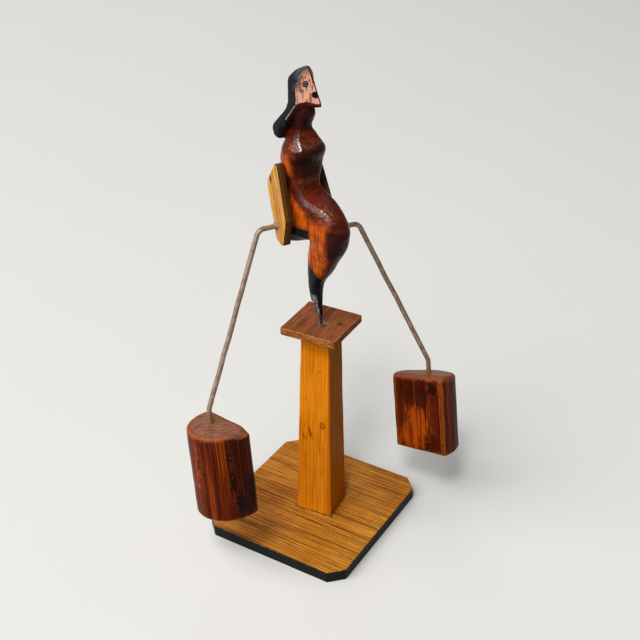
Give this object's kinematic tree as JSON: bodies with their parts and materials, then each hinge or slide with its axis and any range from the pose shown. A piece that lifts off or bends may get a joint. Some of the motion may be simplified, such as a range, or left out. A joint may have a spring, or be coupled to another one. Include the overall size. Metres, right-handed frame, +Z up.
{
  "type": "counterweight balancing toy",
  "caption": "Carved wooden figure that balances on the point of its toe on a stand, kept upright by half-round weights on bent wires.",
  "frame": {"origin": "middle of the base board's underside", "axes": "+Z up along the column, X and Y along the sides of the base board"},
  "size_m": [0.1233, 0.1657, 0.2953],
  "materials": {
    "base_oak": "varnished oak with dark painted edges",
    "column_pine": "varnished golden pine",
    "screw_steel": "plain steel",
    "cap_mahogany": "worn mahogany",
    "nail_iron": "dark iron",
    "tack_steel": "worn steel",
    "figure_wood": "glossy red-brown stain with painted hair and boot",
    "pin_steel": "polished steel",
    "arm_oak": "varnished oak with dark edges",
    "wire_steel": "dull oxidised steel",
    "glue_bead": "grey glue",
    "weight_wood": "dark stain, worn through in streaks"
  },
  "bodies": {
    "stand": {"base_board": "base_oak", "column": "column_pine", "column_screw": "screw_steel", "cap_plate": "cap_mahogany", "straight_cap_nail": "nail_iron", "slanted_cap_nail": "nail_iron"},
    "tack": {"pivot_tack": "tack_steel"},
    "figure": {"figure_body": "figure_wood", "toe_pin": "pin_steel", "right_arm": "arm_oak", "left_arm": "arm_oak", "right_arm_nail": "nail_iron", "left_arm_nail": "nail_iron", "right_wire": "wire_steel", "left_wire": "wire_steel", "right_wire_bead": "glue_bead", "left_wire_bead": "glue_bead", "right_weight": "weight_wood", "left_weight": "weight_wood"}
  },
  "joints": [
    {"name": "spin", "type": "hinge", "parent": "stand", "child": "tack", "pos_m": [0.0044, 0.0026, 0.14385], "axis": [0, 0, 1], "continuous": true},
    {"name": "rock", "type": "hinge", "parent": "tack", "child": "figure", "pos_m": [0.0044, 0.0026, 0.14385], "axis": [0.848, -0.5299, 0], "range_deg": [-16, 16]}
  ]
}
